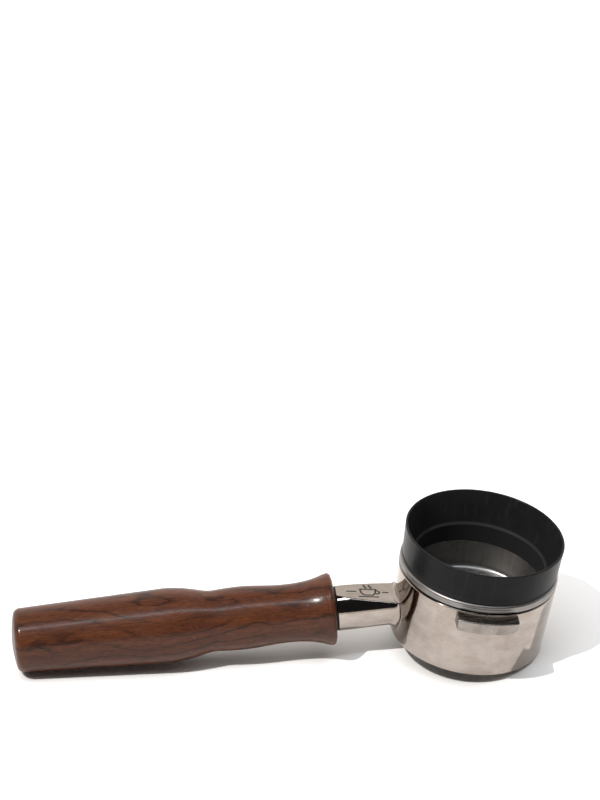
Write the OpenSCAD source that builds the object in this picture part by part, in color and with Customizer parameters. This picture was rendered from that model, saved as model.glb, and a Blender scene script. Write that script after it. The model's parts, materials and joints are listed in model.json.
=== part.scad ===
// Bottomless portafilter: a holder with two bayonet lugs, a flat-topped neck, a turned wooden
// handle, a perforated filter basket with a rolled rim, and a dosing funnel that stands on it.
// The part lies on a table, Z = 0, on the butt of its handle and the far edge of the holder, with
// the handle towards -X. Each sub-part is drawn in the head's own frame, where Z is the basket's
// axis and Z = 0 the top of the rim, or along the handle's axis, and is then laid on the table.

/* [Holder] */
// Outside radius of the holder under the basket rim
holder_r_top = 35.0; // [34.6:0.1:35.6]
// Outside radius of the holder at its bottom edge
holder_r_foot = 33.9; // [33.4:0.1:34.6]
// Depth of the holder's bottom edge below the rim
holder_depth = 36.8; // [34:0.1:40]
// Radius of the open bore through the holder
holder_bore_r = 30.4; // [30.2:0.1:30.8]
// Radius of the holder's rounded bottom edge
foot_round = 1.0; // [0.5:0.1:1.5]

/* [Bayonet lugs] */
// Width of a lug between its parallel ends
lug_w = 27; // [22:0.5:32]
// Radius of a lug's curved front
lug_r = 41.2; // [39:0.1:43]
// Depth of a lug's top face below the rim
lug_top = 4.8; // [4.4:0.1:7]
// Thickness of a lug
lug_h = 5.5; // [4:0.1:7]
// Length of the lead-in slope under a lug's leading end
lug_lead = 7; // [4:0.5:10]
// Rise of the lead-in slope
lug_lead_rise = 1.2; // [0.5:0.1:2]

/* [Filter basket] */
// Outside radius of the rolled rim
rim_r = 35.0; // [34.5:0.1:35.5]
// Height of the rolled rim
rim_h = 3.7; // [2.5:0.1:4.5]
// Inside radius of the basket
basket_r = 29.25; // [29:0.05:29.4]
// Inside depth of the basket
basket_depth = 21.5; // [18:0.5:24]
// Thickness of the basket's sheet
basket_t = 0.5; // [0.4:0.1:0.6]

/* [Dosing funnel] */
// Outside radius of the funnel at its foot
funnel_r_foot = 34.3; // [33.8:0.1:34.6]
// Outside radius of the funnel at its lip
funnel_r_lip = 35.1; // [34.8:0.1:36]
// Height of the lip above the rim
funnel_h = 15.6; // [12:0.1:20]
// Thickness of the funnel's wall
funnel_t = 1.1; // [0.8:0.1:1.4]
// Outside radius of the spigot that centres the funnel in the basket
spigot_r = 29.05; // [28.8:0.05:29.15]
// Depth that the spigot reaches below the rim
spigot_depth = 7.6; // [4:0.1:10]

/* [Neck] */
// Depth below the rim at which the handle's axis crosses the basket's axis
axis_drop = 17.0; // [16:0.1:18]
// Slope of the handle's axis below the rim's plane, in degrees
axis_slope = 11.75; // [10.5:0.05:13]
// Radius of the neck at its outer end
neck_r = 10; // [9.5:0.1:10.5]
// Radius of the neck where it meets the holder
neck_root_r = 9.4; // [9:0.1:10]
// Distance from the basket's axis to the neck's outer end
neck_end = 60.5; // [58:0.5:62]
// Depth of the neck's milled flat below the rim, at the holder
flat_drop = 19.05; // [18.6:0.05:19.6]
// Fall of the flat towards the handle, in degrees
flat_tilt = 2.4; // [0:0.1:4]
// Radius of the stud's thread
stud_r = 5; // [4:0.5:5]

/* [Handle] */
// Thickness of the washer between neck and handle
washer_t = 0.8; // [0.6:0.1:2]
// Radius of the lip at the handle's front
lip_r = 15.9; // [15:0.1:17]
// Radius of the hollow behind the lip
hollow_r = 12.8; // [12:0.1:13.5]
// Radius of the knuckle between hollow and waist
knuckle_r = 13.9; // [13:0.1:14.5]
// Radius of the waist
waist_r = 13.2; // [12.5:0.1:13.8]
// Radius of the belly, the handle's thickest place
belly_r = 16.4; // [15:0.1:18]
// Radius at the butt
butt_r = 14.1; // [13:0.1:15]
// Distance from the basket's axis to the tip of the butt
handle_end = 202.8; // [190:0.1:215]

/* [Hidden] */
$fn = 128;

// Running clearance between parts that lift off, and the gap left at a fitted joint
lift_gap = 0.1;
fit_gap = 0.02;

// Holder
holder_top = -(rim_h + 0.3);
holder_foot = -holder_depth;
top_bevel = 0.5;
foot_bevel = 0.8;
taper = (holder_r_top - holder_r_foot) / (holder_top - holder_foot);
function holder_r(z) = holder_r_foot + taper * (z - holder_foot);

// Retaining spring: a split wire ring in a groove of the holder's bore
wire_r = 0.7;
spring_z = -11;
spring_gap_angle = 28;
spring_r = basket_r + basket_t + 0.35 + wire_r;

// Basket
basket_out_r = basket_r + basket_t;
corner_r = 2.5;
mouth_r = 0.9;
rim_round = 1.1;
bead_line = 0.12;

// Funnel
spigot_t = 0.35;
cone_top = 1.75;
cone_foot = 0.95;
throat_lead = 0.9;
lip_round = funnel_t / 2;

// Neck and its tenon, which stands in a round socket in the holder's wall
tenon_r = 4.8;
tenon_in = 31.6;
tenon_z = -axis_drop - holder_r(-24) * tan(axis_slope);
stud_start = 46.5;
stud_end = 88;

// Handle, along its axis from the basket's axis
handle_start = neck_end + washer_t;
lip_at = handle_start + 2.7;
hollow_at = 83;
knuckle_at = 102;
waist_at = 115.8;
belly_at = 135.5;
butt_round = 3.2;
butt_dome_r = 48;
insert_r = 8;
insert_start = handle_start + 0.4;
insert_end = 97;
steps = 12;

// The butt's rounded edge ends where the shallow dome of its end face begins
dome_centre = handle_end - butt_dome_r;
butt_round_r = butt_r - butt_round;
butt_round_at = dome_centre + sqrt(pow(butt_dome_r - butt_round, 2) - pow(butt_round_r, 2));
dome_angle = atan2(butt_round_r, butt_round_at - dome_centre);

// Lean of the basket's axis that brings the butt and the holder's far edge to the table: the slope
// of the line under two circles, the rounded edge of the butt and that of the foot
butt_x = -butt_round_at * cos(axis_slope) + butt_round_r * sin(axis_slope);
butt_z = -axis_drop - butt_round_at * sin(axis_slope) - butt_round_r * cos(axis_slope);
foot_x = holder_r_foot - foot_round;
foot_z = holder_foot + foot_round;
foot_dx = foot_x - butt_x;
foot_dz = foot_z - butt_z;
lean = atan2(foot_dz, foot_dx) - asin((foot_round - butt_round) / norm([foot_dx, foot_dz]));
stand_z = foot_round + foot_x * sin(lean) - foot_z * cos(lean);

// The origin is under the middle of the whole part's length
far_x = (funnel_r_lip - lip_round) * cos(lean) + (funnel_h - lip_round) * sin(lean) + lip_round;
near_x = -dome_centre * cos(axis_slope) * cos(lean)
       - (axis_drop + dome_centre * sin(axis_slope)) * sin(lean) - butt_dome_r;
shift_x = -(far_x + near_x) / 2;

// Points on an arc about c, from angle a to angle b
function arc(c, r, a, b, n = 6) = [for (i = [0 : n]) c + r * [cos(a + (b - a) * i / n), sin(a + (b - a) * i / n)]];

// Lays a sub-part drawn in the head's frame on the table
module laid() {
    translate([shift_x, 0, stand_z]) rotate([0, lean, 0]) children();
}

// Puts a shape drawn along +Z on the handle's axis, with its own +X turned upwards
module along_handle() {
    translate([0, 0, -axis_drop]) rotate([0, -90 - axis_slope, 0]) children();
}

// One lug: parallel ends, a curved front and a lead-in slope under its leading end, at +X
module lug() {
    bottom = -lug_top - lug_h;
    intersection() {
        rotate([90, 0, 0]) linear_extrude(lug_r + 1) polygon([
            [-lug_w / 2, -lug_top],
            [-lug_w / 2, bottom],
            [lug_w / 2 - lug_lead, bottom],
            [lug_w / 2, bottom + lug_lead_rise],
            [lug_w / 2, -lug_top]
        ]);
        translate([0, 0, bottom - 1]) cylinder(r = lug_r, h = lug_h + 2);
    }
}

// The holder's outside as a solid, a little larger by grow
module holder_blank(grow) {
    translate([0, 0, holder_foot - 10]) cylinder(
        r1 = holder_r(holder_foot - 10) + grow, r2 = holder_r(0) + grow, h = holder_depth + 10);
}

// The round socket for the neck's tenon, or the tenon itself
module tenon(r) {
    translate([-tenon_in, 0, tenon_z]) rotate([0, -90, 0]) cylinder(r = r, h = 6);
}

// Holder: an open ring with its lugs, the spring's groove and the neck's socket
module holder_body() {
    groove_r = spring_r + wire_r + 0.1;
    groove_half = wire_r + 0.15;
    color([0.80, 0.77, 0.73]) laid() difference() {
        union() {
            rotate_extrude() polygon(concat(
                [[holder_bore_r, holder_foot + foot_bevel], [holder_bore_r + foot_bevel, holder_foot]],
                arc([holder_r_foot - foot_round, holder_foot + foot_round], foot_round, -90, 0),
                [[holder_r(holder_top - top_bevel), holder_top - top_bevel],
                 [holder_r(holder_top) - top_bevel, holder_top],
                 [holder_bore_r + top_bevel, holder_top],
                 [holder_bore_r, holder_top - top_bevel]]
            ));
            for (turn = [0, 180]) rotate([0, 0, turn]) difference() {
                lug();
                translate([0, 0, -20]) cylinder(r = holder_bore_r + 1, h = 20);
            }
        }
        rotate_extrude() translate([holder_bore_r - 1, spring_z - groove_half])
            square([groove_r - holder_bore_r + 1, 2 * groove_half]);
        tenon(tenon_r);
    }
}

// Neck: a round bar, slightly thinner at its root, with a flat milled on top. It ends in a saddle
// against the holder.
module neck() {
    bevel = 0.4;
    root = 20;
    gain = (neck_r - neck_root_r) / (neck_end - bevel - holder_r_top);
    color([0.80, 0.77, 0.73]) laid() difference() {
        union() {
            difference() {
                along_handle() union() {
                    translate([0, 0, root]) cylinder(
                        r1 = neck_root_r - gain * (holder_r_top - root), r2 = neck_r, h = neck_end - bevel - root);
                    translate([0, 0, neck_end - bevel]) cylinder(r1 = neck_r, r2 = neck_r - bevel, h = bevel);
                }
                holder_blank(fit_gap);
            }
            tenon(tenon_r - fit_gap);
        }
        translate([-holder_r_top, 0, -flat_drop]) rotate([0, -flat_tilt, 0])
            translate([-neck_end, -20, 0]) cube([neck_end + 30, 40, 20]);
        along_handle() translate([0, 0, stud_start - 1]) cylinder(r = stud_r, h = neck_end);
    }
}

// Stud: screws into the neck and into the handle's insert
module neck_stud() {
    bevel = 0.8;
    r = stud_r - fit_gap;
    color([0.55, 0.55, 0.56]) laid() along_handle() union() {
        translate([0, 0, stud_start]) cylinder(r1 = r - bevel, r2 = r, h = bevel);
        translate([0, 0, stud_start + bevel]) cylinder(r = r, h = stud_end - stud_start - 2 * bevel);
        translate([0, 0, stud_end - bevel]) cylinder(r1 = r, r2 = r - bevel, h = bevel);
    }
}

// Washer between the neck's end and the handle's front face
module neck_washer() {
    soft = washer_t / 2 - 0.1;
    inner = stud_r + 0.2;
    outer = neck_r - 0.2;
    color([0.05, 0.05, 0.05]) laid() along_handle() rotate_extrude() polygon(concat(
        [[inner, neck_end + fit_gap]],
        arc([outer - soft, neck_end + fit_gap + soft], soft, -90, 0),
        arc([outer - soft, handle_start - fit_gap - soft], soft, 0, 90),
        [[inner, handle_start - fit_gap]]
    ));
}

// Threaded insert that is glued into the handle, with two grooves that hold the glue
module handle_insert() {
    groove = 0.5;
    r = insert_r - fit_gap;
    color([0.78, 0.62, 0.32]) laid() along_handle() difference() {
        translate([0, 0, insert_start]) cylinder(r = r, h = insert_end - insert_start);
        translate([0, 0, insert_start - 1]) cylinder(r = stud_r, h = insert_end - insert_start - 3);
        for (at = [insert_start + 10, insert_start + 22]) rotate_extrude()
            translate([r - groove, at]) square([2, 2]);
    }
}

// Handle: one turned piece of wood, with a blind hole for its insert
module handle() {
    front = [for (i = [0 : steps]) let (t = i / steps)
        [hollow_r + (lip_r - hollow_r) * pow(1 - t, 2.5), lip_at + (hollow_at - lip_at) * t]];
    knuckle = [for (i = [1 : steps]) let (t = i / steps)
        [hollow_r + (knuckle_r - hollow_r) * (1 - cos(180 * t)) / 2, hollow_at + (knuckle_at - hollow_at) * t]];
    waist = [for (i = [1 : steps - 1]) let (t = i / steps)
        [knuckle_r - (knuckle_r - waist_r) * (1 - cos(90 * t)), knuckle_at + (waist_at - knuckle_at) * t]];
    belly = [for (i = [1 : steps]) let (t = i / steps)
        [waist_r + (belly_r - waist_r) * sin(90 * t), waist_at + (belly_at - waist_at) * t]];
    color([0.36, 0.17, 0.12]) laid() along_handle() rotate_extrude() polygon(concat(
        [[insert_r, handle_start], [lip_r - 2.6, handle_start]],
        arc([lip_r - 2.1, lip_at - 0.4], 2.1, -70, 0, 5),
        front, knuckle, waist, belly,
        arc([butt_round_r, butt_round_at], butt_round, 0, 90 - dome_angle),
        arc([0, dome_centre], butt_dome_r, 90 - dome_angle, 90),
        [[0, insert_end + 5], [insert_r, insert_end + 2]]
    ));
}

// Spring: a split ring of round wire that holds the basket in the holder
module basket_spring() {
    color([0.6, 0.6, 0.6]) laid() rotate([0, 0, spring_gap_angle / 2])
        rotate_extrude(angle = 360 - spring_gap_angle)
        translate([spring_r, spring_z]) circle(r = wire_r, $fn = 24);
}

// Basket: a drawn cup with a perforated floor, and a rolled rim that rests on the holder
module filter_basket() {
    color([0.62, 0.61, 0.60]) laid() rotate_extrude() polygon(concat(
        [[0, -basket_depth - basket_t]],
        arc([basket_r - corner_r, corner_r - basket_depth], corner_r + basket_t, -90, 0),
        [[basket_out_r, -rim_h]],
        arc([rim_r - rim_round, rim_round - rim_h], rim_round, -90, 0),
        [[rim_r - bead_line, -rim_h / 2]],
        arc([rim_r - rim_round, -rim_round], rim_round, 0, 90),
        arc([basket_r + mouth_r, -mouth_r], mouth_r, 90, 180),
        arc([basket_r - corner_r, corner_r - basket_depth], corner_r, 0, -90),
        [[0, -basket_depth]]
    ));
}

// Funnel: a thin wall above a short cone, and a spigot that drops into the basket
module dosing_funnel() {
    spigot_in = spigot_r - spigot_t;
    foot_edge = 0.3;
    color([0.09, 0.09, 0.10]) laid() rotate_extrude() polygon(concat(
        [[spigot_in, -spigot_depth], [spigot_r - 0.15, -spigot_depth],
         [spigot_r, 0.4 - spigot_depth], [spigot_r, lift_gap],
         [funnel_r_foot - foot_edge, lift_gap], [funnel_r_foot, lift_gap + foot_edge]],
        arc([funnel_r_lip - lip_round, funnel_h - lip_round], lip_round, 0, 180),
        [[spigot_in + throat_lead, cone_top], [spigot_in, cone_foot]]
    ));
}

holder_body();
neck();
neck_stud();
neck_washer();
handle_insert();
handle();
basket_spring();
filter_basket();
dosing_funnel();
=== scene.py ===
import json
import math

import bmesh
import bpy
from mathutils import Matrix, Vector


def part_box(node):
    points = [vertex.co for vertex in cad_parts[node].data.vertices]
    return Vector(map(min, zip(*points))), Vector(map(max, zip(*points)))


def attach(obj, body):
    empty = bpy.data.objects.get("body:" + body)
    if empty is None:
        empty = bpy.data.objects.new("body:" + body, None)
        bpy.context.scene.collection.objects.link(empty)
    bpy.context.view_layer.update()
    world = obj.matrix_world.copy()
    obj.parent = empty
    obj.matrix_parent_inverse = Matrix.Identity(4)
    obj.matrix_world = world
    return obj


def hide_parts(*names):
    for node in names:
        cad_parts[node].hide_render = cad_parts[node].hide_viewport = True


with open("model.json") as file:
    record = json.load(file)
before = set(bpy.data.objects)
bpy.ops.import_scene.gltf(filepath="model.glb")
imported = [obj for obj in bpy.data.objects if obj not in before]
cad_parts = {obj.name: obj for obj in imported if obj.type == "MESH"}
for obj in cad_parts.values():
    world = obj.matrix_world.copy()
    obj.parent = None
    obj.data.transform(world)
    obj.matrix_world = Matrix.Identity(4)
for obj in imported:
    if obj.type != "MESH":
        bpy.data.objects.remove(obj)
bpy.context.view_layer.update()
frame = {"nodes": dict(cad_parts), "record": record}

MM = 0.001
TAU = 2 * math.pi


# ---------------------------------------------------------------- places, from the frame

def mount(name):
    return next(m for m in frame["record"]["mounts"] if m["name"] == name)


def box_centre(node):
    low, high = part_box(node)
    return (low + high) / 2


def axes_matrix(x, y, z, origin):
    matrix = Matrix((x, y, z)).transposed().to_4x4()
    matrix.translation = origin
    return matrix


# Head: Z is the basket's axis and Z = 0 the top of its rim. The lugs' mount lies on that axis,
# below the rim.
LUG_MOUNT_DROP = 7.5
LUGS = mount("bayonet_lugs")
head_z = Vector(LUGS["axis"]).normalized()
head_y = Vector((0, 1, 0))
rim_centre = Vector(LUGS["pos_m"]) + head_z * LUG_MOUNT_DROP * MM
HEAD = axes_matrix(head_y.cross(head_z), head_y, head_z, rim_centre)

# Handle: Z runs along the handle away from the head, X points up, and Z = 0 is on the basket's
# axis.
WASHER_AT = 60.9
handle_z = (box_centre("handle_insert") - box_centre("neck_washer")).normalized()
axis_crossing = box_centre("neck_washer") - handle_z * WASHER_AT * MM
HANDLE = axes_matrix(head_y.cross(handle_z), head_y, handle_z, axis_crossing)

# ---------------------------------------------------------------- sizes, in millimetres

# Holder: an open ring, slightly narrower at its foot
HOLDER_TOP = -4.2
HOLDER_FOOT = -36.8
HOLDER_R_TOP = 35.0
HOLDER_R_FOOT = 33.9
BORE_R = 30.4
FOOT_ROUND = 1.0

# Lugs, with a slope under the leading end
LUG_W = 27.0
LUG_R = 41.2
LUG_TOP = -4.8
LUG_H = 5.5
LUG_LEAD = 7.0
LUG_LEAD_RISE = 1.2

# Spring in the holder's bore
SPRING_Z = -11.0
SPRING_R = 30.8
WIRE_R = 0.7

# Neck, with the height of its flat at the holder and the flat's fall towards the handle
NECK_R = 10.0
NECK_ROOT_R = 9.4
NECK_END = 60.5
NECK_BEVEL = 0.4
FLAT_Z = -19.05
FLAT_TILT = math.radians(2.4)

# Handle
HANDLE_START = 61.3
HANDLE_END = 202.8
BUTT_DOME_R = 48.0
BUTT_ROUND = 3.2
BUTT_R = 14.1

# Basket
BASKET_R = 29.25
BASKET_T = 0.5
BASKET_DEPTH = 21.5
CORNER_R = 2.5
RIM_R = 35.0
RIM_H = 3.7

# Funnel
FUNNEL_FOOT_R = 34.3
FUNNEL_LIP_R = 35.1
FUNNEL_H = 15.6
FUNNEL_T = 1.1
SPIGOT_R = 29.05
SPIGOT_DEPTH = 7.6


# ---------------------------------------------------------------- outline helpers

def arc(r, z, radius, start, end, steps=6):
    """Points on a round edge about (r, z), from one angle to another, in degrees."""
    angles = [math.radians(start + (end - start) * i / steps) for i in range(steps + 1)]
    return [(r + radius * math.cos(a), z + radius * math.sin(a)) for a in angles]


def blend_point(start, corner, end, t):
    """The point at t, from 0 to 1, on a smooth curve from start to end inside the corner."""
    weights = (1 - t) ** 2, 2 * t * (1 - t), t * t
    return tuple(sum(w * v for w, v in zip(weights, values)) for values in zip(start, corner, end))


def rounded(start, corner, end, steps):
    """Points on that curve, with both its ends."""
    return [blend_point(start, corner, end, i / steps) for i in range(steps + 1)]


# ---------------------------------------------------------------- mesh helpers

def lathe(outline, segments=192):
    """Turns a closed outline of (radius, height) points into a solid of revolution."""
    on_axis = 1e-6
    turn = [TAU * i / segments for i in range(segments)]
    bm = bmesh.new()
    rings = []
    for r, z in outline:
        if r < on_axis:
            rings.append([bm.verts.new((0, 0, z * MM))])
            continue
        points = [(r * MM * math.cos(a), r * MM * math.sin(a), z * MM) for a in turn]
        rings.append([bm.verts.new(p) for p in points])
    for one, two in zip(rings, rings[1:] + rings[:1]):
        for i in range(segments):
            j = (i + 1) % segments
            corners = [one[i % len(one)], one[j % len(one)], two[j % len(two)], two[i % len(two)]]
            kept = [v for n, v in enumerate(corners) if v not in corners[:n]]
            if len(kept) > 2:
                bm.faces.new(kept)
    return bm


def loft(bm, rings):
    """Makes vertices of rings of points, all equally long, and joins each ring to the next."""
    made = [[bm.verts.new(Vector(p) * MM) for p in ring] for ring in rings]
    count = len(made[0])
    for one, two in zip(made, made[1:]):
        for i in range(count):
            j = (i + 1) % count
            bm.faces.new([one[i], one[j], two[j], two[i]])
    return made


def flat_caps(bm, made):
    """Closes a loft with one flat face at each end."""
    bm.faces.new(made[0])
    bm.faces.new(made[-1][::-1])


def fan_caps(bm, made):
    """Closes a loft at each end with triangles about a point in the middle."""
    for ring in (made[0], made[-1]):
        centre = bm.verts.new(sum((v.co for v in ring), Vector()) / len(ring))
        for one, two in zip(ring, ring[1:] + ring[:1]):
            bm.faces.new([one, two, centre])


def bevel_edges(bm, width, least_angle, segments):
    """Rounds every edge that is sharper than the angle, in degrees."""
    limit = math.radians(least_angle)
    sharp = [e for e in bm.edges if e.is_manifold and e.calc_face_angle() > limit]
    bmesh.ops.bevel(bm, geom=sharp, offset=width * MM, segments=segments, profile=0.5,
                    affect="EDGES", clamp_overlap=True)


def piece(name, bm, place, body, material, replaces=(), weighted=True):
    """Makes a smooth-shaded object of the mesh, in place, that rides on a body."""
    bmesh.ops.recalc_face_normals(bm, faces=bm.faces)
    mesh = bpy.data.meshes.new(name)
    bm.to_mesh(mesh)
    bm.free()
    mesh.polygons.foreach_set("use_smooth", [True] * len(mesh.polygons))
    mesh.materials.append(material)
    obj = bpy.data.objects.new(name, mesh)
    bpy.context.scene.collection.objects.link(obj)
    obj.matrix_world = place
    if weighted:
        obj.modifiers.new("normals", "WEIGHTED_NORMAL").keep_sharp = True
    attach(obj, body)
    if replaces:
        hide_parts(*replaces)
    return obj


# ---------------------------------------------------------------- materials

class Shader:
    """A material being built: a Principled shader, and short ways to add and join nodes."""

    def __init__(self, name, **sockets):
        self.material = bpy.data.materials.new(name)
        self.material.use_nodes = True
        self.nodes = self.material.node_tree.nodes
        self.links = self.material.node_tree.links
        self.main = self.nodes["Principled BSDF"]
        for socket, value in sockets.items():
            self.main.inputs[socket.replace("_", " ")].default_value = value

    def put(self, socket, value):
        """Sets an input to a value, or joins it to another node's output."""
        if isinstance(value, bpy.types.NodeSocket):
            self.links.new(value, socket)
        else:
            socket.default_value = value

    def add(self, kind, settings=None, **inputs):
        """A new node; inputs are values or other nodes' outputs, by socket name or _number."""
        node = self.nodes.new(kind)
        for key, value in (settings or {}).items():
            setattr(node, key, value)
        for key, value in inputs.items():
            index = int(key[1:]) if key.startswith("_") else key.replace("_", " ")
            self.put(node.inputs[index], value)
        return node

    def place(self, scale=(1, 1, 1), turn=(0, 0, 0), offset=(0, 0, 0)):
        """The piece's own coordinates in millimetres, turned, stretched and moved."""
        coordinates = self.nodes.new("ShaderNodeTexCoord").outputs["Object"]
        spread = [s / MM for s in scale]
        return self.add("ShaderNodeMapping", Vector=coordinates, Rotation=turn, Location=offset,
                        Scale=spread).outputs[0]

    def height(self):
        """The height in the piece's own coordinates, in millimetres."""
        return self.add("ShaderNodeSeparateXYZ", Vector=self.place()).outputs[2]

    def noise(self, at, scale=1.0, detail=3.0, rough=0.5, distort=0.0):
        return self.add("ShaderNodeTexNoise", Vector=at, Scale=scale, Detail=detail,
                        Roughness=rough, Distortion=distort).outputs["Fac"]

    def bulge(self, centre, size):
        """One at the centre, fading to nothing over the size, both in millimetres."""
        offset = [-c / d for c, d in zip(centre, size)]
        near = self.place([1 / d for d in size], offset=offset)
        squared = self.add("ShaderNodeVectorMath", {"operation": "DOT_PRODUCT"}, _0=near, _1=near)
        return self.maths("EXPONENT", self.times(squared.outputs["Value"], -1.0))

    def maths(self, what, *values):
        inputs = {f"_{i}": v for i, v in enumerate(values)}
        return self.add("ShaderNodeMath", {"operation": what}, **inputs).outputs[0]

    def times(self, one, two):
        return self.maths("MULTIPLY", one, two)

    def plus(self, one, two):
        return self.maths("ADD", one, two)

    def stripe(self, layer, per_mm):
        """Distance from the nearest stripe: 0 on it and 0.5 halfway to the next."""
        phase = self.maths("FRACT", self.times(layer, per_mm))
        return self.maths("ABSOLUTE", self.maths("SUBTRACT", phase, 0.5))

    def ramp(self, value, *stops, ease="LINEAR"):
        """A ramp of greys; each stop is (place, grey)."""
        node = self.add("ShaderNodeValToRGB", Fac=value)
        node.color_ramp.interpolation = ease
        elements = node.color_ramp.elements
        while len(elements) < len(stops):
            elements.new(1.0)
        for element, (at, grey) in zip(elements, stops):
            element.position = at
            element.color = (grey, grey, grey, 1)
        return node.outputs["Color"]

    def span(self, value, low, high, out_low, out_high):
        """Moves a value from one range to another, and keeps it inside that."""
        return self.add("ShaderNodeMapRange", _0=value, _1=low, _2=high, _3=out_low,
                        _4=out_high).outputs[0]

    def mix(self, amount, one, two):
        """A mix of two colours."""
        node = self.nodes.new("ShaderNodeMix")
        node.data_type = "RGBA"
        self.put(node.inputs[0], amount)
        self.put(node.inputs[6], (*one, 1) if isinstance(one, tuple) else one)
        self.put(node.inputs[7], (*two, 1) if isinstance(two, tuple) else two)
        return node.outputs[2]

    def bump(self, height, strength, distance, under=None):
        node = self.add("ShaderNodeBump", Height=height, Strength=strength,
                        Distance=distance * MM)
        if under:
            self.put(node.inputs["Normal"], under)
        return node.outputs[0]

    def finish(self, **inputs):
        """Joins or sets the main shader's inputs, and gives back the material."""
        for socket, value in inputs.items():
            self.put(self.main.inputs[socket.replace("_", " ")], value)
        return self.material


def polished_steel():
    """Mirror-polished stainless steel: cloudy smears, hairline scratches and a slight ripple."""
    clear, cloudy, wiped = (0.415, 0.362, 0.325), (0.305, 0.258, 0.226), (0.44, 0.40, 0.375)
    s = Shader("polished_steel", Metallic=1.0)
    cloud = s.noise(s.place((1, 1, 1.3)), scale=0.075, detail=6, rough=0.68, distort=0.25)
    wipes_at = s.place((0.5, 0.5, 2.2), turn=(0.5, 0.2, 0), offset=(30, 8, 2))
    wipes = s.noise(wipes_at, scale=0.13, detail=4, rough=0.7, distort=0.3)
    hair = s.noise(s.place((0.1, 5, 5), turn=(0, 0.2, 0.8)), scale=0.5, detail=2, rough=0.7)
    scratches = s.span(hair, 0.66, 0.8, 0, 1)
    base = s.mix(s.span(cloud, 0.36, 0.66, 0, 1), clear, cloudy)
    tone = s.mix(s.span(wipes, 0.52, 0.75, 0, 0.5), base, wiped)
    rough = s.plus(s.span(cloud, 0.3, 0.7, 0.05, 0.11), s.times(scratches, 0.05))
    ripple = s.bump(s.noise(s.place(), scale=0.13, detail=1), 0.10, 0.03)
    return s.finish(Base_Color=tone, Roughness=rough, Normal=ripple)


def lug_steel():
    """Less polished cast steel: soft reflections, cloudy tones and a faint sanded grain."""
    s = Shader("lug_steel", Metallic=1.0)
    grain = s.noise(s.place((0.5, 0.5, 4)), scale=0.9, detail=4, rough=0.7)
    cloud = s.noise(s.place(), scale=0.16, detail=5, rough=0.65, distort=0.4)
    tone = s.mix(s.span(cloud, 0.36, 0.66, 0, 1), (0.30, 0.268, 0.244), (0.215, 0.19, 0.172))
    rough = s.plus(s.span(cloud, 0.3, 0.7, 0.17, 0.27), s.span(grain, 0.3, 0.7, 0, 0.05))
    return s.finish(Base_Color=tone, Roughness=rough, Normal=s.bump(grain, 0.12, 0.015))


def satin_steel():
    """Drawn stainless steel with fine lines around it, as turning and polishing leave them."""
    s = Shader("satin_steel", Metallic=1.0)
    lines = s.noise(s.place((0.02, 0.02, 9)), rough=0.6)
    patches = s.noise(s.place(), scale=0.12, rough=0.6)
    tone = s.mix(s.span(patches, 0.3, 0.7, 0, 1), (0.27, 0.258, 0.25), (0.21, 0.198, 0.19))
    rough = s.plus(s.span(lines, 0.3, 0.7, 0.3, 0.4), s.span(patches, 0.3, 0.7, 0, 0.06))
    return s.finish(Base_Color=tone, Roughness=rough, Normal=s.bump(lines, 0.10, 0.01))


def basket_steel():
    """The basket's sheet steel: satin, with faint vertical drawing marks and dull patches."""
    s = Shader("basket_steel", Metallic=1.0)
    drawn = s.noise(s.place((2.6, 2.6, 0.04)), rough=0.6)
    patches = s.noise(s.place(), scale=0.1, detail=4, rough=0.6, distort=0.4)
    base = s.mix(s.span(patches, 0.3, 0.7, 0, 1), (0.235, 0.23, 0.225), (0.18, 0.17, 0.16))
    tone = s.mix(s.span(drawn, 0.35, 0.65, 0, 0.34), base, (0.36, 0.35, 0.34))
    rough = s.plus(s.span(drawn, 0.3, 0.7, 0.28, 0.38), s.span(patches, 0.3, 0.7, 0, 0.08))
    return s.finish(Base_Color=tone, Roughness=rough, Normal=s.bump(drawn, 0.06, 0.01))


def anodised_black():
    """Black anodised aluminium: a fine blasted grain, faint turning lines, paler vertical streaks
    that are painted highlight streaks, and a duller throat below the funnel's taper, painted paler
    to lift its shade."""
    throat_top, taper_end = 1.9, 2.3
    dark, darker_grey = (0.0092, 0.0092, 0.0102), (0.0125, 0.0123, 0.013)
    # streak_highlight is painted highlight: the colour of the paler streaks that stand in for a
    # light's reflection on the wall.
    streak_highlight, throat_painted_light = (0.024, 0.0236, 0.0236), (0.0185, 0.0185, 0.0192)
    s = Shader("anodised_black", IOR=1.5, Specular_IOR_Level=0.08)
    grain = s.noise(s.place(), scale=3.2, rough=0.6)
    turned = s.noise(s.place((0.03, 0.03, 5)), detail=2, rough=0.6)
    # Tall thin noise that places the painted highlight streaks.
    highlight_streaks = s.noise(s.place((0.8, 0.8, 0.03)), scale=0.55, detail=1)
    mottle = s.noise(s.place(), scale=0.09, rough=0.6, distort=0.3)
    # Mask of the throat below the taper: it makes the throat rougher and also carries its painted
    # light.
    throat = s.span(s.height(), throat_top, taper_end, 1, 0)
    base = s.mix(s.span(mottle, 0.3, 0.7, 0, 1), dark, darker_grey)
    # Mixes in the painted highlight streaks.
    streaked = s.mix(s.span(highlight_streaks, 0.58, 0.76, 0, 0.4), base, streak_highlight)
    # Painted light: the throat is painted paler to lift the shade that falls inside it.
    tone = s.mix(s.times(throat, 0.8), streaked, throat_painted_light)
    satin = s.plus(s.span(mottle, 0.3, 0.7, 0.26, 0.34), s.span(turned, 0.3, 0.7, 0, 0.05))
    rough = s.plus(satin, s.times(throat, 0.25))
    fine = s.bump(grain, 0.08, 0.01)
    return s.finish(Base_Color=tone, Roughness=rough, Normal=s.bump(turned, 0.08, 0.008, fine))


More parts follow.
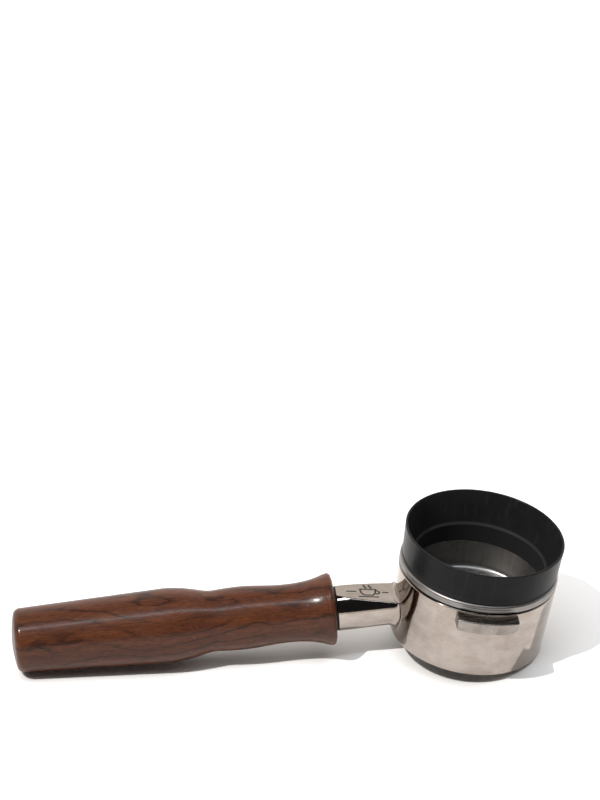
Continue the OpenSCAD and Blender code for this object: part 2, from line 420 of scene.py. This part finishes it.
def wood_layers(s):
    """The wood's growth layers, in millimetres across them, swaying and bent round a knot. The
    swirl alone comes with them, because the wood's redness follows it."""
    across = s.add("ShaderNodeSeparateXYZ", Vector=s.place(turn=(0.02, 0.03, 0.95))).outputs[1]
    sway = s.noise(s.place((0.06, 0.06, 0.016), offset=(4.3, 7.1, 3.2)), detail=2)
    swirl = s.noise(s.place((0.12, 0.12, 0.035), offset=(1.2, 5.5, 8.1)), distort=0.3)
    wobble = s.noise(s.place((0.5, 0.5, 0.07), offset=(9, 2, 5)), rough=0.55)
    knot = s.bulge(centre=(9, -8, 137), size=(13, 13, 21))
    bent = s.plus(s.plus(s.times(sway, 24.0), s.times(swirl, 15.0)), s.times(knot, 12.0))
    return s.plus(s.plus(across, bent), s.times(wobble, 1.6)), swirl


def handle_wood():
    """Dark red-brown hardwood: thin dark growth lines with soft halos, orange streaks, fibres
    and pores under a thin coat of oil."""
    brown, orange, red = (0.080, 0.0235, 0.0105), (0.142, 0.0445, 0.0140), (0.074, 0.0215, 0.0112)
    vein, fine_vein = (0.011, 0.0045, 0.0035), (0.020, 0.0072, 0.005)
    dark_fibre, pale_hair = (0.026, 0.0088, 0.0058), (0.125, 0.047, 0.020)
    pore_colour = (0.010, 0.004, 0.003)
    s = Shader("handle_wood", IOR=1.5, Specular_IOR_Level=0.08, Coat_Weight=0.36,
               Coat_Roughness=0.18)
    layer, swirl = wood_layers(s)
    line = s.ramp(s.stripe(layer, 0.135), (0.0, 1.0), (0.04, 0.8), (0.11, 0.22), (0.28, 0.0),
                  ease="EASE")
    fine_line = s.ramp(s.stripe(layer, 0.74), (0.0, 1.0), (0.28, 0.0))
    strength = s.noise(s.place((0.16, 0.16, 0.02), offset=(6, 1, 9)), detail=2)
    fade = s.span(strength, 0.35, 0.55, 0.3, 1)
    fibre = s.noise(s.place((1.7, 1.7, 0.12)), detail=4, rough=0.7)
    hair = s.noise(s.place((3.6, 3.6, 0.2), offset=(3, 3, 3)), detail=2, rough=0.6)
    streak = s.noise(s.place((0.3, 0.3, 0.03), offset=(2, 8, 1)), detail=4, rough=0.65)
    pores = s.noise(s.place((3.4, 3.4, 0.4)), detail=1)
    pore = s.span(pores, 0.60, 0.70, 0, 1)
    tone = s.mix(s.span(streak, 0.42, 0.66, 0, 1), brown, orange)
    tone = s.mix(s.span(swirl, 0.35, 0.7, 0, 0.8), tone, red)
    tone = s.mix(s.times(s.times(line, fade), 0.96), tone, vein)
    tone = s.mix(s.times(fine_line, 0.26), tone, fine_vein)
    tone = s.mix(s.span(fibre, 0.3, 0.72, 0.0, 0.62), tone, dark_fibre)
    tone = s.mix(s.span(hair, 0.48, 0.7, 0.0, 0.4), tone, pale_hair)
    tone = s.mix(s.times(pore, 0.6), tone, pore_colour)
    rough = s.span(fibre, 0.25, 0.75, 0.42, 0.55)
    grain = s.bump(s.maths("SUBTRACT", fibre, s.times(pore, 0.7)), 0.35, 0.04)
    return s.finish(Base_Color=tone, Roughness=rough, Normal=grain, Coat_Normal=grain)


def black_rubber():
    """Matt black rubber with a dusty speckle."""
    s = Shader("black_rubber", IOR=1.5)
    speckle = s.noise(s.place(), scale=2.0, rough=0.6)
    tone = s.mix(s.span(speckle, 0.3, 0.7, 0, 1), (0.006, 0.006, 0.006), (0.014, 0.013, 0.013))
    rough = s.span(speckle, 0.3, 0.7, 0.5, 0.65)
    return s.finish(Base_Color=tone, Roughness=rough, Normal=s.bump(speckle, 0.2, 0.02))


def turned_metal(name, clean, tarnished):
    """Bare metal with a fine machined grain and slight tarnish."""
    s = Shader(name, Metallic=1.0)
    grain = s.noise(s.place(), scale=1.6, rough=0.6)
    tarnish = s.noise(s.place(), scale=0.2, detail=4, rough=0.6)
    tone = s.mix(s.span(tarnish, 0.35, 0.7, 0, 1), clean, tarnished)
    rough = s.span(tarnish, 0.3, 0.7, 0.18, 0.34)
    return s.finish(Base_Color=tone, Roughness=rough, Normal=s.bump(grain, 0.1, 0.02))


def etched_line():
    """The blackened, slightly rough surface of an etched line."""
    s = Shader("etched_line", IOR=1.5, Specular_IOR_Level=0.3)
    grain = s.noise(s.place(), scale=5.0, rough=0.6)
    tone = s.mix(grain, (0.008, 0.008, 0.008), (0.03, 0.028, 0.026))
    return s.finish(Base_Color=tone, Roughness=s.span(grain, 0.3, 0.7, 0.45, 0.6))


def floor_paper():
    """Smooth white paper, very slightly uneven."""
    s = Shader("pale_floor")
    cloud = s.noise(s.place(), scale=0.004)
    tone = s.mix(cloud, (0.86, 0.855, 0.85), (0.88, 0.878, 0.875))
    return s.finish(Base_Color=tone, Roughness=s.span(cloud, 0.3, 0.7, 0.7, 0.8))


STEEL = polished_steel()
LUG_STEEL = lug_steel()
RIM_STEEL = satin_steel()
SHEET_STEEL = basket_steel()
BLACK = anodised_black()
WOOD = handle_wood()
RUBBER = black_rubber()
WIRE = turned_metal("spring_wire", (0.62, 0.61, 0.59), (0.5, 0.48, 0.46))
STUD = turned_metal("stud_steel", (0.5, 0.49, 0.48), (0.4, 0.39, 0.37))
BRASS = turned_metal("brass", (0.72, 0.5, 0.22), (0.5, 0.33, 0.14))
ETCHED = etched_line()


# ---------------------------------------------------------------- holder

def holder_r(z):
    """The holder's outside radius at a height."""
    share = (z - HOLDER_FOOT) / (HOLDER_TOP - HOLDER_FOOT)
    return HOLDER_R_FOOT + (HOLDER_R_TOP - HOLDER_R_FOOT) * share


def holder_ring():
    """The open ring, with a broken inner edge at its foot and the spring's groove."""
    edge = 0.5
    groove_low = SPRING_Z - WIRE_R - 0.15
    groove_high = SPRING_Z + WIRE_R + 0.15
    groove_r = SPRING_R + WIRE_R + 0.1
    inner_edge = [(0, 1.2), (0.15, 0.8), (0.8, 0.12), (1.1, 0)]
    outline = (
        [(BORE_R, groove_low)]
        + [(BORE_R + r, HOLDER_FOOT + z) for r, z in inner_edge]
        + arc(HOLDER_R_FOOT - FOOT_ROUND, HOLDER_FOOT + FOOT_ROUND, FOOT_ROUND, -90, 0, 8)
        + arc(holder_r(HOLDER_TOP) - edge, HOLDER_TOP - edge, edge, 0, 90)
        + arc(BORE_R + edge, HOLDER_TOP - edge, edge, 90, 180)
        + [(BORE_R, groove_high), (groove_r, groove_high), (groove_r, groove_low)]
    )
    piece("holder_ring", lathe(outline, 288), HEAD, "holder", STEEL,
          ["holder_body"])


def corner_drop(from_end, radius):
    """How far a rounded corner falls back from its edge at a distance from the end."""
    inside = max(0.0, radius - from_end)
    return radius - math.sqrt(radius ** 2 - inside ** 2)


def lug_section(from_tail):
    """A lug's outline across its width, as (outward, height) points."""
    edge, lead_corner, tail_corner = 0.5, 2.2, 0.7
    from_lead = LUG_W - from_tail
    end_drop = corner_drop(min(from_tail, from_lead), edge)
    x = from_tail - LUG_W / 2
    back = math.sqrt((HOLDER_R_FOOT - 1.5) ** 2 - x ** 2)
    front = math.sqrt(LUG_R ** 2 - x ** 2) - end_drop
    top = LUG_TOP - end_drop
    low = LUG_TOP - LUG_H
    low += corner_drop(from_tail, tail_corner) + corner_drop(from_lead, lead_corner)
    low += LUG_LEAD_RISE * max(0, 1 - from_lead / LUG_LEAD) ** 1.5
    return (
        [(back, low)]
        + arc(front - edge, low + edge, edge, -90, 0, 4)
        + arc(front - edge, top - edge, edge, 0, 90, 4)
        + [(back, top)]
    )


def lug(name, turn):
    """A bayonet lug: curved front, rounded edges, and a lead-in slope under its leading end."""
    near_end = [0, 0.04, 0.12, 0.25, 0.42, 0.65, 0.95, 1.3, 1.7, 2.2]
    steps = 24
    middle_w = LUG_W - 2 * near_end[-1]
    middle = [near_end[-1] + middle_w * i / steps for i in range(1, steps)]
    stations = near_end + middle + [LUG_W - d for d in reversed(near_end)]
    rings = [[(d - LUG_W / 2, -y, z) for y, z in lug_section(d)] for d in stations]
    bm = bmesh.new()
    flat_caps(bm, loft(bm, rings))
    place = HEAD @ Matrix.Rotation(math.radians(turn), 4, "Z")
    piece(name, bm, place, "holder", LUG_STEEL)


# ---------------------------------------------------------------- neck

def neck_section(s):
    """The neck's outline across its axis at station s, as (up, sideways) points: a circle with a
    flat top, whose two edges are slightly rounded."""
    slope_sin = -handle_z.dot(head_z)
    slope_cos = math.sqrt(1 - slope_sin ** 2)
    crossing_z = (HEAD.inverted() @ HANDLE.translation).z / MM
    fall = math.tan(FLAT_TILT)
    rise = FLAT_Z - crossing_z + s * slope_sin + (HOLDER_R_TOP - s * slope_cos) * fall
    flat = rise / (slope_cos + slope_sin * fall)
    share = (s - HOLDER_R_TOP) / (NECK_END - NECK_BEVEL - HOLDER_R_TOP)
    r = NECK_ROOT_R + (NECK_R - NECK_ROOT_R) * share
    half = math.sqrt(r ** 2 - flat ** 2)
    edge = min(0.35, half * 0.4)
    start = math.acos(flat / r) + edge / r
    round_steps, flat_steps = 48, 12
    angles = [start + (TAU - 2 * start) * i / round_steps for i in range(round_steps + 1)]
    around = [(r * math.cos(a), r * math.sin(a)) for a in angles]
    inner = half - edge
    across = [(flat, -inner + 2 * inner * i / flat_steps) for i in range(1, flat_steps)]
    return (
        around
        + rounded(around[-1], (flat, -half), (flat, -inner), 4)[1:]
        + across
        + rounded((flat, inner), (flat, half), around[0], 4)[:-1]
    )


def neck_ring(s, shrink=1.0):
    """The neck's outline at station s, as points in the head's frame, in millimetres."""
    to_head = HEAD.inverted() @ HANDLE
    return [to_head @ Vector((u * shrink * MM, v * shrink * MM, s * MM)) / MM
            for u, v in neck_section(s)]


def meeting_station(i):
    """The station at which line i along the neck meets the holder's outside."""
    near, far = 22.0, 50.0
    for _ in range(40):
        middle = (near + far) / 2
        point = neck_ring(middle)[i]
        if math.hypot(point.x, point.y) > holder_r(point.z):
            far = middle
        else:
            near = middle
    return near


def fillet_foot(corner, s, reach):
    """Where the fillet that starts at station s of the neck ends on the holder's wall."""
    to_head = HEAD.inverted() @ HANDLE
    outward = corner - to_head @ Vector((0, 0, s * MM)) / MM
    radial = Vector((corner.x, corner.y, 0)).normalized()
    along_wall = (outward - radial * outward.dot(radial)).normalized()
    end = corner + along_wall * reach
    to_wall = (holder_r(end.z) - 0.02) / math.hypot(end.x, end.y)
    return Vector((end.x * to_wall, end.y * to_wall, end.z))


def neck_bar():
    """The neck, lofted from the handle to the holder, where it spreads in a small fillet."""
    fillet = 2.8
    sunk = 0.985
    fillet_steps = 7
    shares = (0.01, 0.06, 0.12, 0.2, 0.28, 0.36, 0.44, 0.52, 0.6, 0.68, 0.76, 0.84, 0.92)
    first = NECK_END - NECK_BEVEL
    lines = range(len(neck_section(first)))
    meets = [meeting_station(i) for i in lines]
    rings = [neck_ring(NECK_END, (NECK_R - NECK_BEVEL) / NECK_R), neck_ring(first)]
    for share in shares:
        stations = [first + (meets[i] + fillet - first) * share for i in lines]
        rings.append([neck_ring(s)[i] for i, s in enumerate(stations)])
    start = [neck_ring(meets[i] + fillet)[i] for i in lines]
    corner = [neck_ring(meets[i])[i] for i in lines]
    foot = [fillet_foot(corner[i], meets[i], fillet) for i in lines]
    for step in range(fillet_steps + 1):
        t = step / fillet_steps
        rings.append([blend_point(*ends, t) for ends in zip(start, corner, foot)])
    rings.append([(p.x * sunk, p.y * sunk, p.z) for p in foot])
    bm = bmesh.new()
    fan_caps(bm, loft(bm, rings))
    piece("neck_bar", bm, HEAD, "holder", STEEL, ["neck"])


def ribbon(bm, points, width):
    """A thin flat line along points on the neck's flat, with mitred corners."""
    below, above = -0.03, 0.012
    left, right = [], []
    for i, p in enumerate(points):
        before = (p - points[i - 1]).normalized() if i else (points[1] - p).normalized()
        after = (points[i + 1] - p).normalized() if i < len(points) - 1 else before
        along = (before + after).normalized()
        side = Vector((-along.y, along.x)) * width / 2 / max(0.4, along.dot(after))
        left.append(p + side)
        right.append(p - side)
    rings = [[(a.x, a.y, above), (b.x, b.y, above), (b.x, b.y, below), (a.x, a.y, below)]
             for a, b in zip(left, right)]
    flat_caps(bm, loft(bm, rings))


def cup_lines():
    """The ornament's lines: a cup with an ear, a saucer and steam, between two rules."""
    bowl = [(-2.7, 1.5), (-2.35, -0.7), (-1.5, -1.9), (1.5, -1.9), (2.35, -0.7), (2.7, 1.5),
            (-2.7, 1.5)]
    ear_angles = [math.radians(5 + 17 * i) for i in range(11)]
    ear = [(2.35 + 1.5 * math.sin(a), -0.15 + 1.05 * math.cos(a)) for a in ear_angles]
    saucer = [(-3.5, -2.9), (3.5, -2.9)]
    rules = [[(-7.4, 0), (-4.0, 0)], [(4.9, 0), (7.0, 0)]]
    steam = [[(x + 0.35 * math.sin(TAU * i / 8), 2.1 + 1.9 * i / 8) for i in range(9)]
             for x in (-0.9, 0.9)]
    return [bowl, ear, saucer, *steam, *rules]


def neck_mark():
    """A plain ornament on the neck's flat."""
    middle_at, width, scale = 46.5, 0.82, 1.3
    centre = Vector((HOLDER_R_TOP - middle_at, 0))
    flat_root = Matrix.Translation((-HOLDER_R_TOP * MM, 0, FLAT_Z * MM))
    place = HEAD @ flat_root @ Matrix.Rotation(-FLAT_TILT, 4, "Y")
    bm = bmesh.new()
    for line in cup_lines():
        ribbon(bm, [centre + Vector(p) * scale for p in line], width)
    piece("neck_mark", bm, place, "holder", ETCHED, weighted=False)


# ---------------------------------------------------------------- spring

def basket_spring():
    """The split wire ring, with its two ends bent a little inwards."""
    sides, steps = 16, 160
    half_gap = math.radians(14)
    end_bend, end_share = 0.25, 1 / 40
    around_wire = [TAU * k / sides for k in range(sides)]
    rings = []
    for i in range(steps + 1):
        t = i / steps
        a = half_gap + (TAU - 2 * half_gap) * t
        near_end = max(0, 1 - min(t, 1 - t) / end_share)
        r = SPRING_R - end_bend * near_end ** 2
        across = [(r + WIRE_R * math.cos(b), SPRING_Z + WIRE_R * math.sin(b)) for b in around_wire]
        rings.append([(out * math.cos(a), out * math.sin(a), z) for out, z in across])
    bm = bmesh.new()
    flat_caps(bm, loft(bm, rings))
    bevel_edges(bm, width=0.15, least_angle=60, segments=2)
    piece("spring_wire", bm, HEAD, "holder", WIRE, ["basket_spring"])


# ---------------------------------------------------------------- handle

def stretch(a, b, start, end, ease, steps=26):
    """Points after the first on a turned stretch, from radius a to b, eased over the stations."""
    turn = [i / steps for i in range(1, steps + 1)]
    return [(a + (b - a) * ease(t), start + (end - start) * t) for t in turn]


def handle_lip(lip_r, lip_at):
    """The handle's front face, its rounded lip and the fine groove behind it."""
    groove = 0.35
    return (
        [(0, HANDLE_START), (5.4, HANDLE_START)]
        + arc(lip_r - 2.8, HANDLE_START + 0.5, 0.5, -90, -35, 3)
        + arc(lip_r - 2.1, lip_at - 0.4, 2.1, -62, 0, 8)
        + [(lip_r - groove, lip_at + 0.2), (lip_r - groove, lip_at + 0.45)]
        + [(lip_r - 0.22, lip_at + 0.62)]
    )


def handle_butt(belly_r, belly_at):
    """The straight taper behind the belly, the butt's rounded edge and its shallow dome."""
    round_r = BUTT_R - BUTT_ROUND
    dome_centre = HANDLE_END - BUTT_DOME_R
    round_at = dome_centre + math.sqrt((BUTT_DOME_R - BUTT_ROUND) ** 2 - round_r ** 2)
    dome_angle = 90 - math.degrees(math.atan2(round_r, round_at - dome_centre))
    return (
        stretch(belly_r, BUTT_R, belly_at, round_at, lambda t: t, steps=24)[:-1]
        + arc(round_r, round_at, BUTT_ROUND, 0, dome_angle, 10)
        + arc(0, dome_centre, BUTT_DOME_R, dome_angle, 90, 10)[1:-1]
        + [(0, HANDLE_END)]
    )


def handle_outline():
    """The turned outline, front to butt: lip, hollow, knuckle, waist, belly and butt."""
    lip_r, hollow_r, knuckle_r, waist_r, belly_r = 15.9, 12.8, 13.9, 13.2, 16.4
    lip_at, hollow_at, knuckle_at = HANDLE_START + 2.7, 83, 102
    waist_at, belly_at = 115.8, 135.5
    hollow = stretch(lip_r, hollow_r, lip_at, hollow_at, lambda t: 1 - (1 - t) ** 2.5)
    knuckle = stretch(hollow_r, knuckle_r, hollow_at, knuckle_at,
                      lambda t: (1 - math.cos(math.pi * t)) / 2)
    waist = stretch(knuckle_r, waist_r, knuckle_at, waist_at,
                    lambda t: 1 - math.cos(math.pi / 2 * t))
    belly = stretch(waist_r, belly_r, waist_at, belly_at, lambda t: math.sin(math.pi / 2 * t))
    softened = waist[:-6] + rounded(waist[-6], waist[-1], belly[3], 8) + belly[4:]
    return handle_lip(lip_r, lip_at) + hollow + knuckle + softened + handle_butt(belly_r, belly_at)


def wood_grip():
    piece("wood_grip", lathe(handle_outline(), 160), HANDLE, "holder", WOOD,
          ["handle"])


def rubber_ring():
    """The thin washer between neck and handle."""
    soft, inner_r, outer_r, gap = 0.3, 5.2, NECK_R - 0.2, 0.02
    start, end = NECK_END + gap, HANDLE_START - gap
    outline = (
        [(inner_r, start)]
        + arc(outer_r - soft, start + soft, soft, -90, 0)
        + arc(outer_r - soft, end - soft, soft, 0, 90)
        + [(inner_r, end)]
    )
    piece("rubber_ring", lathe(outline, 128), HANDLE, "holder", RUBBER,
          ["neck_washer"])


# ---------------------------------------------------------------- basket

def hexagonal_grid(pitch, reach):
    """Points of a hexagonal grid that lie inside a circle."""
    row_step = pitch * math.sqrt(3) / 2
    rows = int(reach / row_step) + 1
    points = []
    for j in range(-rows, rows + 1):
        shift = pitch / 2 if j % 2 else 0
        row = [(i * pitch + shift, j * row_step) for i in range(-rows - 4, rows + 5)]
        points += [p for p in row if math.hypot(*p) < reach]
    return points


def holed_cell(bm, x, y, z, pitch, hole_r, flip):
    """One hexagon of the plate with a round hole in it: its outer and its inner vertices."""
    cell_r = pitch / math.sqrt(3)
    outer, inner = [], []
    for k in range(12):
        a = TAU * (k + 1) / 12
        edge_r = cell_r if k % 2 == 0 else cell_r * math.cos(TAU / 12)
        for ring, r in ((outer, edge_r), (inner, hole_r)):
            corner = Vector((x + r * math.cos(a), y + r * math.sin(a), z))
            ring.append(bm.verts.new(corner * MM))
    for k in range(12):
        m = (k + 1) % 12
        face = [outer[k], outer[m], inner[m], inner[k]]
        bm.faces.new(face[::-1] if flip else face)
    return outer, inner


def plate_side(bm, radius, segments, z, flip):
    """One side of the perforated plate, joined to a circle of that radius: its holes' rings."""
    pitch, hole_r, border = 1.5, 0.27, 1.4
    centres = hexagonal_grid(pitch, radius - border)
    cells = [holed_cell(bm, x, y, z, pitch, hole_r, flip) for x, y in centres]
    turn = [TAU * k / segments for k in range(segments)]
    rim = [bm.verts.new((radius * MM * math.cos(a), radius * MM * math.sin(a), z * MM))
           for a in turn]
    rim_edges = [bm.edges.new(pair) for pair in zip(rim, rim[1:] + rim[:1])]
    corners = [v for outer, _ in cells for v in outer]
    bmesh.ops.remove_doubles(bm, verts=corners, dist=0.02 * MM)
    holes = {v for _, inner in cells for v in inner}

    def on_grid_border(edge):
        if len(edge.link_faces) != 1 or set(edge.verts) & holes:
            return False
        on_side = abs(edge.verts[0].co.z - z * MM) < 1e-7
        return on_side and max(v.co.to_2d().length for v in edge.verts) < (radius - 0.1) * MM

    border_edges = [e for e in bm.edges if on_grid_border(e)]
    bmesh.ops.triangle_fill(bm, use_beauty=True, use_dissolve=False, edges=rim_edges + border_edges)
    return [inner for _, inner in cells]


def perforated_floor(bm, radius, segments, top, bottom):
    """A plate with a hexagonal grid of small round holes, joined to a circle of that radius."""
    top_holes = plate_side(bm, radius, segments, top, flip=False)
    bottom_holes = plate_side(bm, radius, segments, bottom, flip=True)
    for one, two in zip(top_holes, bottom_holes):
        for k in range(len(one)):
            m = (k + 1) % len(one)
            bm.faces.new([one[k], one[m], two[m], two[k]])


def basket_outline(floor_r, out_r):
    """The cup's wall and rolled rim, from the floor's outer edge round to its inner edge."""
    mouth, roll_low, roll_high = 0.9, 0.9, 1.25
    corner_z = CORNER_R - BASKET_DEPTH
    bead = [(0.02, 0.56), (0.16, 0.52), (0.08, 0.48)]
    return (
        arc(floor_r, corner_z, CORNER_R + BASKET_T, -90, 0, 8)
        + [(out_r, -RIM_H - 0.4), (out_r, -RIM_H)]
        + arc(RIM_R - roll_low, roll_low - RIM_H, roll_low, -90, 0, 6)
        + [(RIM_R - depth, -RIM_H * share) for depth, share in bead]
        + arc(RIM_R - roll_high, -roll_high, roll_high, 8, 90, 8)
        + arc(BASKET_R + mouth, -mouth, mouth, 90, 180, 6)
        + [(BASKET_R, -8)]
        + arc(floor_r, corner_z, CORNER_R, 0, -90, 8)
    )


def basket():
    """Drawn cup with a rolled rim; its floor is a plate with real holes."""
    segments = 192
    floor_r = BASKET_R - CORNER_R
    out_r = BASKET_R + BASKET_T
    bm = lathe(basket_outline(floor_r, out_r), segments)
    closing = [f for f in bm.faces
               if all(abs(v.co.to_2d().length - floor_r * MM) < 1e-6 for v in f.verts)]
    bmesh.ops.delete(bm, geom=closing, context="FACES")
    perforated_floor(bm, floor_r, segments, -BASKET_DEPTH, -BASKET_DEPTH - BASKET_T)
    bmesh.ops.remove_doubles(bm, verts=bm.verts, dist=0.004 * MM)
    cup = piece("basket_cup", bm, HEAD, "basket", SHEET_STEEL, ["filter_basket"])
    cup.data.materials.append(RIM_STEEL)
    for face in cup.data.polygons:
        outside = face.center.to_2d().length > (out_r + 0.2) * MM
        if outside and face.center.z > -(RIM_H + 0.1) * MM:
            face.material_index = 1


# ---------------------------------------------------------------- funnel

def funnel():
    """A thin tapered wall on a flat foot, and a spigot that drops into the basket."""
    spigot_in = SPIGOT_R - 0.35
    lip = FUNNEL_T / 2
    gap, foot_round = 0.1, 0.3
    lead_in = [(0.98, 2.0), (0.87, 1.72), (0.68, 1.53), (0.2, 1.1), (0.05, 0.93), (0, 0.7)]
    outline = (
        [(spigot_in + 0.12, -SPIGOT_DEPTH), (SPIGOT_R - 0.2, -SPIGOT_DEPTH)]
        + [(SPIGOT_R, 0.4 - SPIGOT_DEPTH), (SPIGOT_R, gap), (FUNNEL_FOOT_R - 0.35, gap)]
        + arc(FUNNEL_FOOT_R - foot_round, gap + foot_round, foot_round, -90, 0, 4)
        + arc(FUNNEL_LIP_R - lip, FUNNEL_H - lip, lip, 0, 180, 10)
        + [(spigot_in + r, z) for r, z in lead_in]
        + [(spigot_in, 0.15 - SPIGOT_DEPTH)]
    )
    piece("funnel_ring", lathe(outline, 224), HEAD, "funnel", BLACK,
          ["dosing_funnel"])


# ---------------------------------------------------------------- kept CAD nodes

def hidden_metal():
    """The stud and the insert keep their CAD shapes and get their metals."""
    kept = (("neck_stud", "stud_steel", STUD), ("handle_insert", "brass", BRASS))
    for node, slot, material in kept:
        cad = frame["nodes"][node]
        cad.data.materials.clear()
        cad.data.materials.append(material)


# ---------------------------------------------------------------- studio

def studio_floor():
    bm = bmesh.new()
    bmesh.ops.create_circle(bm, cap_ends=True, radius=4.0, segments=96)
    mesh = bpy.data.meshes.new("studio_floor")
    bm.to_mesh(mesh)
    bm.free()
    mesh.materials.append(floor_paper())
    obj = bpy.data.objects.new("studio_floor", mesh)
    bpy.context.scene.collection.objects.link(obj)


def light(name, kind, at, energy, colour, **settings):
    """A light at a point, in metres, that shines towards the origin."""
    data = bpy.data.lights.new(name, kind)
    data.energy = energy
    data.color = colour
    for key, value in settings.items():
        setattr(data, key, value)
    obj = bpy.data.objects.new(name, data)
    obj.location = Vector(at)
    obj.rotation_euler = Vector(at).to_track_quat("Z", "Y").to_euler()
    bpy.context.scene.collection.objects.link(obj)
    return obj


def studio_lights():
    """A sun for the sharp shadow, a thin strip for the highlights, and a soft fill that has no
    reflection of its own."""
    light("sun", "SUN", (-0.518, -0.322, 1.0), 2.5, (1.0, 0.965, 0.92), angle=math.radians(0.7))
    light("strip", "AREA", (0.05, -0.27, 1.15), 6.0, (0.84, 0.92, 1.0), shape="RECTANGLE",
          size=1.5, size_y=0.14)
    fill = light("fill", "AREA", (0.2, 1.0, 5.0), 325.0, (1.0, 0.965, 0.93), shape="RECTANGLE",
                 size=10.0, size_y=10.0)
    fill.visible_glossy = False


def studio_world():
    """A white sweep behind and a pale horizon all round, in an otherwise dark room."""
    dark_room, white_wall = (0.02, 0.02, 0.022, 1), (1.12, 1.08, 1.03, 1)
    world = bpy.data.worlds.new("studio")
    bpy.context.scene.world = world
    world.use_nodes = True
    nodes, links = world.node_tree.nodes, world.node_tree.links
    direction = nodes.new("ShaderNodeSeparateXYZ")
    links.new(nodes.new("ShaderNodeTexCoord").outputs["Generated"], direction.inputs[0])

    def ease(axis, low, high):
        node = nodes.new("ShaderNodeMapRange")
        node.interpolation_type = "SMOOTHSTEP"
        links.new(direction.outputs[axis], node.inputs[0])
        node.inputs[1].default_value = low
        node.inputs[2].default_value = high
        return node.outputs[0]

    def combine(what, one, two):
        node = nodes.new("ShaderNodeMath")
        node.operation = what
        links.new(one, node.inputs[0])
        links.new(two, node.inputs[1])
        return node.outputs[0]

    behind = ease("Y", -0.1, 0.35)
    below_top = ease("Z", 0.86, 0.6)
    horizon = ease("Z", 0.16, 0.08)
    wall = combine("MAXIMUM", combine("MULTIPLY", behind, below_top), horizon)
    mix = nodes.new("ShaderNodeMix")
    mix.data_type = "RGBA"
    links.new(wall, mix.inputs[0])
    mix.inputs[6].default_value = dark_room
    mix.inputs[7].default_value = white_wall
    links.new(mix.outputs[2], nodes["Background"].inputs["Color"])


def studio_camera():
    """The photograph's view: from the front, a little to the left and from above."""
    azimuth, elevation, roll = math.radians(-5.432), math.radians(31.50), math.radians(-0.2)
    at = Vector((-0.13119, -1.43863, 1.01494))
    back = Vector((math.sin(azimuth) * math.cos(elevation),
                   -math.cos(azimuth) * math.cos(elevation), math.sin(elevation)))
    level = Vector((math.cos(azimuth), math.sin(azimuth), 0))
    upright = back.cross(level)
    right = level * math.cos(roll) + upright * math.sin(roll)
    up = upright * math.cos(roll) - level * math.sin(roll)
    data = bpy.data.cameras.new("camera")
    data.lens = 180
    data.sensor_width = 36
    data.clip_start = 0.05
    data.clip_end = 50
    obj = bpy.data.objects.new("camera", data)
    obj.matrix_world = axes_matrix(right, up, back, at)
    bpy.context.scene.collection.objects.link(obj)
    bpy.context.scene.camera = obj


# ---------------------------------------------------------------- making

studio_camera()
holder_ring()
lug("lug_front", 0)
lug("lug_back", 180)
neck_bar()
neck_mark()
basket_spring()
wood_grip()
rubber_ring()
basket()
funnel()
hidden_metal()
studio_floor()
studio_lights()
studio_world()
bpy.context.scene.view_settings.view_transform = "Standard"
